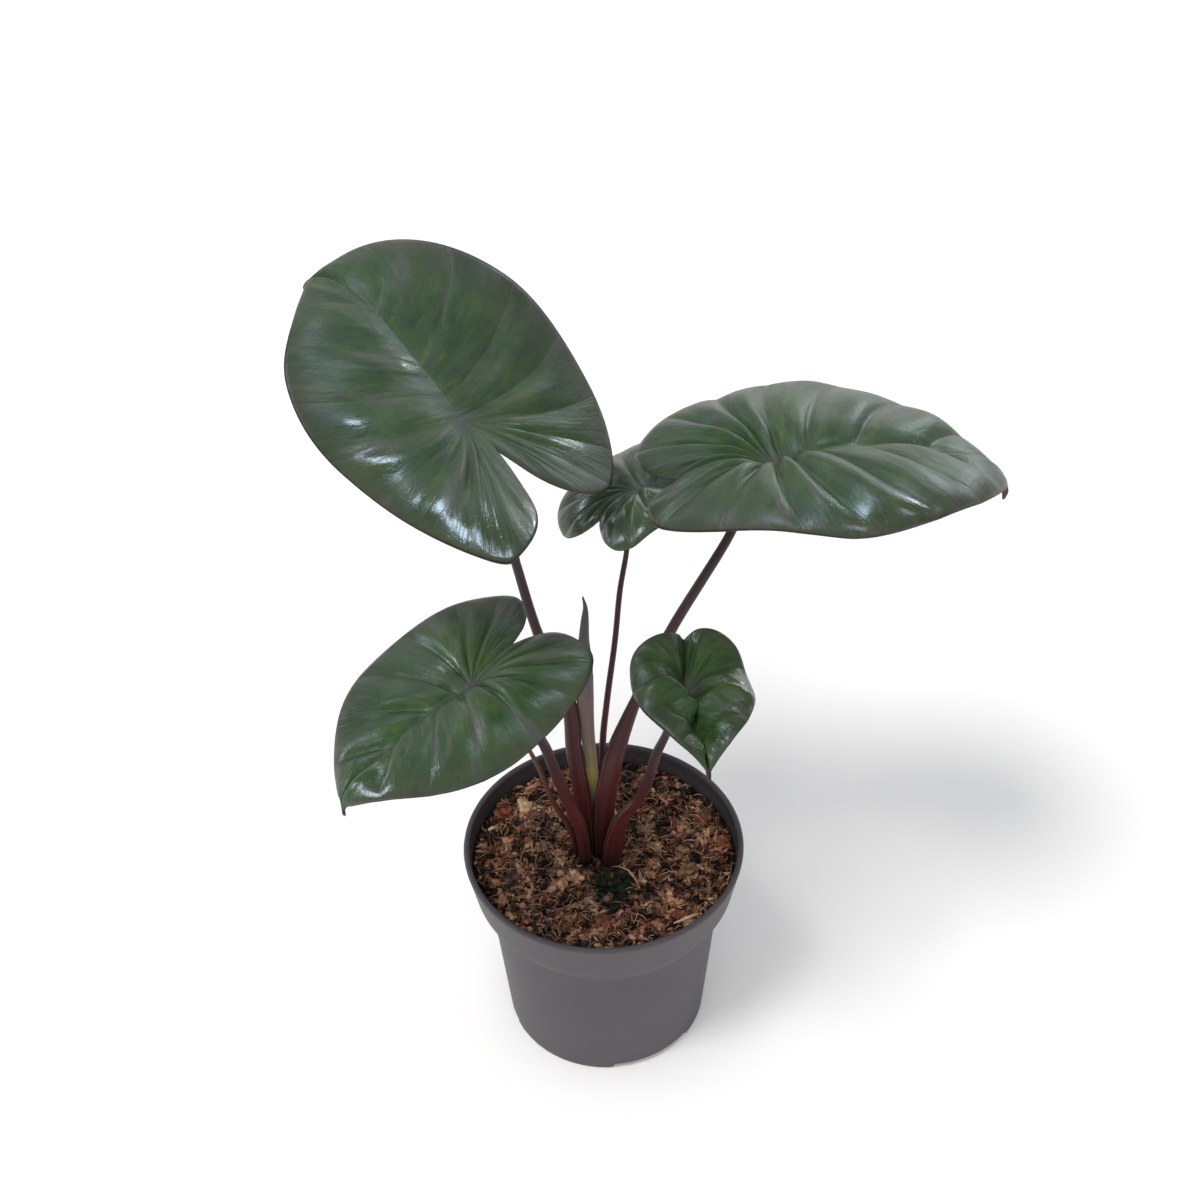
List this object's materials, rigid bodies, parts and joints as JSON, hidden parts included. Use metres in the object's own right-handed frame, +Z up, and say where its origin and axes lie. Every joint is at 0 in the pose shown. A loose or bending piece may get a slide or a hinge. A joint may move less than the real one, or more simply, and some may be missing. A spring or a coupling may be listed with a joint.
{
  "type": "potted foliage plant",
  "caption": "Young arrowhead-leaved foliage plant with glossy quilted heart-shaped blades on dark stalks, growing from coir soil in a round flared nursery pot.",
  "frame": {"origin": "centre of the pot's flat underside, where it stands on the table", "axes": "+Z up the plant, -Y toward the side the plant is shown from, +X to the viewer's right"},
  "size_m": [0.2716, 0.1866, 0.3537],
  "materials": {
    "pot": "satin",
    "soil": "matte",
    "corm": "matte",
    "blade": "gloss",
    "stalk": "satin",
    "new_leaf": "satin"
  },
  "bodies": {
    "root": {"pot": "pot", "soil": "soil", "corm": "corm", "blade_upper_left": "blade", "stalk_upper_left": "stalk", "blade_upper_right": "blade", "stalk_upper_right": "stalk", "blade_back": "blade", "stalk_back": "stalk", "blade_lower_left": "blade", "stalk_lower_left": "stalk", "blade_lower_right": "blade", "stalk_lower_right": "stalk", "stalk_spent": "stalk", "new_leaf": "new_leaf"}
  },
  "joints": []
}
